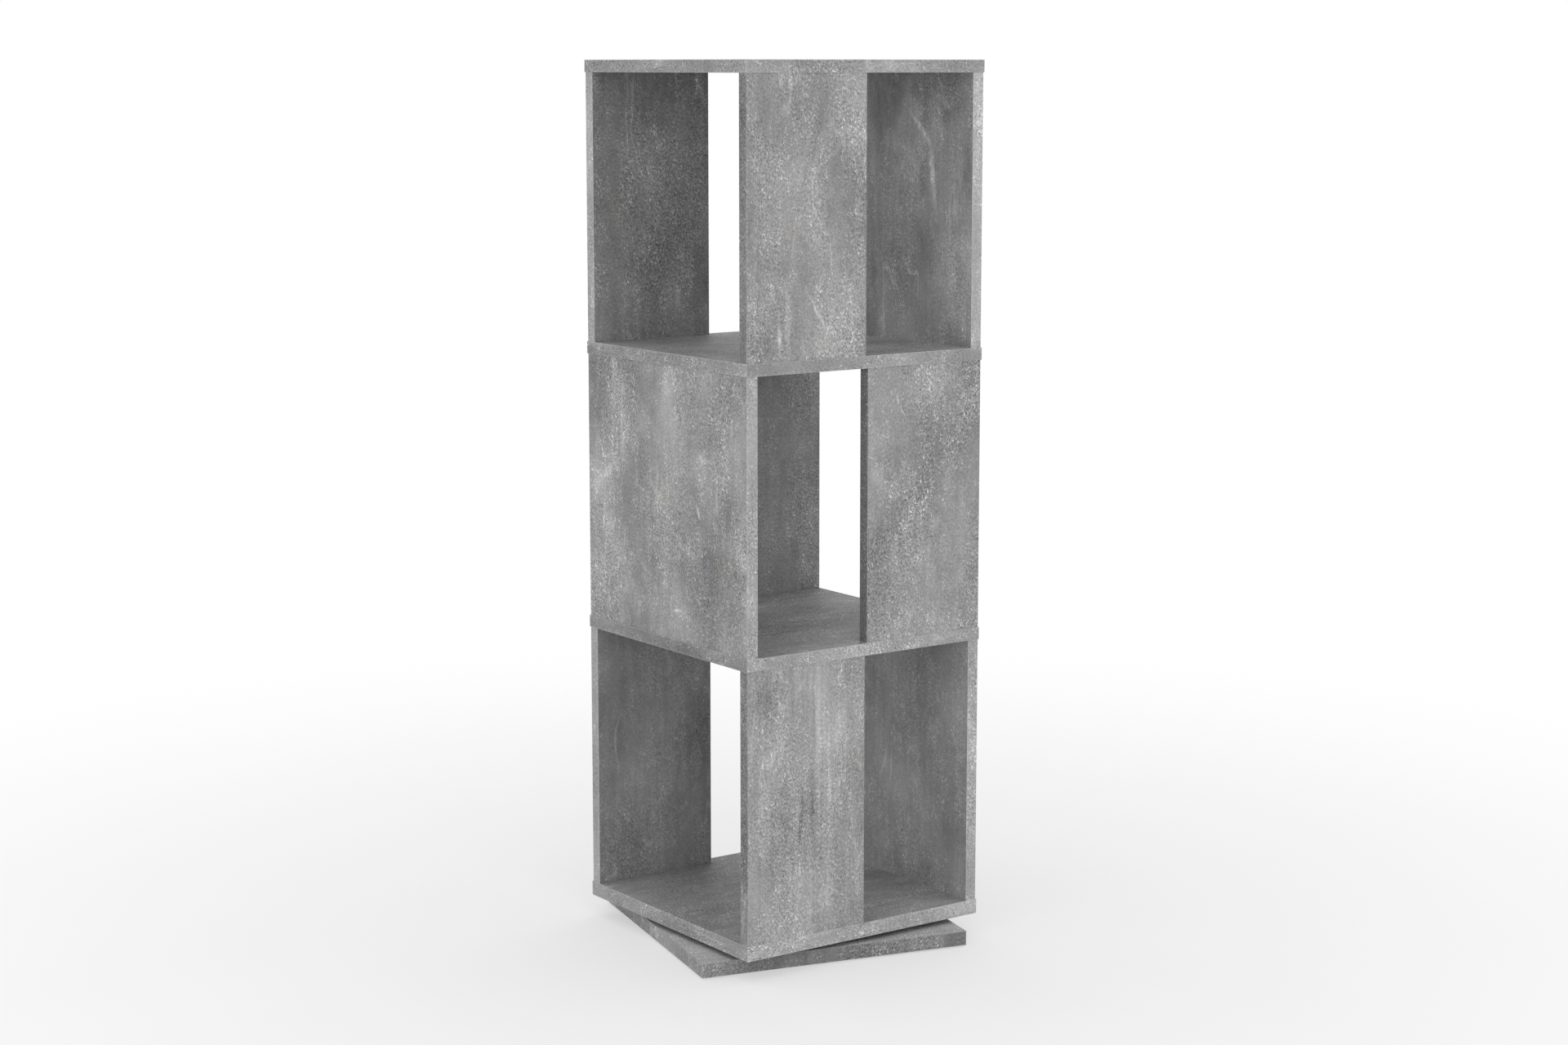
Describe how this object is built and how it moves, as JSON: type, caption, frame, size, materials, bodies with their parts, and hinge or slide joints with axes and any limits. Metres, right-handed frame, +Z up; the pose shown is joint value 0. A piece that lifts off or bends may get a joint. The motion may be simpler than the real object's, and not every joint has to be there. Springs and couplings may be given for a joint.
{
  "type": "revolving bookcase",
  "caption": "Tall square bookcase tower with open tiers walled in alternate directions, turning on a ball-bearing ring above a square base plate; holds books and lever-arch files.",
  "frame": {"origin": "on the floor under the middle of the base plate, on the turning axis", "axes": "+Z up along the turning axis, +X and +Y square to the tower's walls; -Y is the front, and -X the side that the lowest and highest tiers leave open"},
  "size_m": [0.4142, 0.4142, 1.0735],
  "materials": {
    "decor_board": "melamine-faced chipboard, matt concrete decor",
    "decor_edging": "ABS edging, matt concrete decor",
    "decor_cap": "matt concrete grey",
    "dowel": "bare beech",
    "fastener": "zinc-plated steel",
    "glide": "black nylon",
    "turntable_ring": "mill-finish aluminium",
    "ball": "polished steel",
    "cage": "natural nylon"
  },
  "bodies": {
    "base": {"base_plate": "decor_board", "base_plate_edging": "decor_edging", "base_glides": "glide", "turntable_inner_ring": "turntable_ring", "inner_ring_bolts": "fastener"},
    "bearing": {"ball_cage": "cage", "turntable_balls": "ball"},
    "tower": {"bottom_board": "decor_board", "bottom_board_edging": "decor_edging", "outer_ring_screws": "fastener", "shelf_1": "decor_board", "shelf_1_edging": "decor_edging", "shelf_2": "decor_board", "shelf_2_edging": "decor_edging", "tier_1_front_panel": "decor_board", "tier_1_front_panel_edging": "decor_edging", "tier_1_full_panel": "decor_board", "tier_1_full_panel_edging": "decor_edging", "tier_1_lower_dowels": "dowel", "tier_1_lower_screws": "fastener", "tier_1_rear_panel": "decor_board", "tier_1_rear_panel_edging": "decor_edging", "tier_1_upper_caps": "decor_cap", "tier_1_upper_dowels": "dowel", "tier_1_upper_screws": "fastener", "tier_2_front_panel": "decor_board", "tier_2_front_panel_edging": "decor_edging", "tier_2_full_panel": "decor_board", "tier_2_full_panel_edging": "decor_edging", "tier_2_lower_caps": "decor_cap", "tier_2_lower_dowels": "dowel", "tier_2_lower_screws": "fastener", "tier_2_rear_panel": "decor_board", "tier_2_rear_panel_edging": "decor_edging", "tier_2_upper_caps": "decor_cap", "tier_2_upper_dowels": "dowel", "tier_2_upper_screws": "fastener", "tier_3_front_panel": "decor_board", "tier_3_front_panel_edging": "decor_edging", "tier_3_full_panel": "decor_board", "tier_3_full_panel_edging": "decor_edging", "tier_3_lower_caps": "decor_cap", "tier_3_lower_dowels": "dowel", "tier_3_lower_screws": "fastener", "tier_3_rear_panel": "decor_board", "tier_3_rear_panel_edging": "decor_edging", "tier_3_upper_caps": "decor_cap", "tier_3_upper_dowels": "dowel", "tier_3_upper_screws": "fastener", "top_board": "decor_board", "top_board_edging": "decor_edging", "turntable_outer_ring": "turntable_ring"}
  },
  "joints": [
    {"name": "tower_turn", "type": "hinge", "parent": "base", "child": "tower", "pos_m": [0, 0, 0.02325], "axis": [0, 0, 1], "continuous": true},
    {"name": "bearing_turn", "type": "hinge", "parent": "base", "child": "bearing", "pos_m": [0, 0, 0.02325], "axis": [0, 0, 1], "continuous": true}
  ],
  "couplings": [
    {"joint": "bearing_turn", "follows": "tower_turn", "ratio": 0.5}
  ]
}
